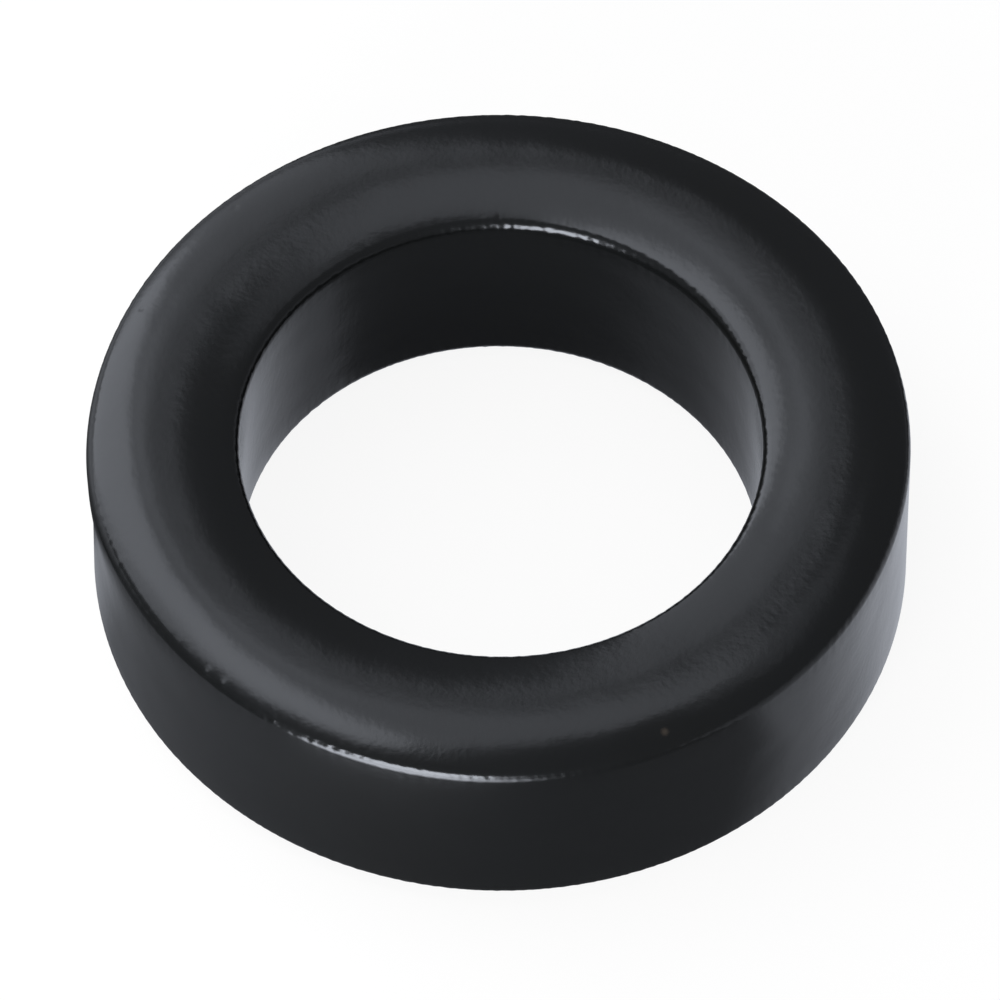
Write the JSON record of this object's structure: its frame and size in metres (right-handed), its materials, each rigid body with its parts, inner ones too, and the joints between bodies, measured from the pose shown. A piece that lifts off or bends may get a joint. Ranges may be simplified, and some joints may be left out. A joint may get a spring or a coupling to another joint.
{
  "type": "ferrite toroid core",
  "caption": "Round ferrite ring with crowned faces, straight walls, rounded rims and a wide bore for winding wire through, coated smooth black.",
  "frame": {"origin": "centre of the surface the ring stands on, under the middle of its bore", "axes": "+Z along the ring's axis, from the lower face to the upper face"},
  "size_m": [0.0418, 0.0418, 0.0122],
  "materials": {
    "black_coating": "sintered ferrite under a thin smooth black epoxy coating, satin"
  },
  "bodies": {
    "root": {"toroid_core": "black_coating"}
  },
  "joints": []
}
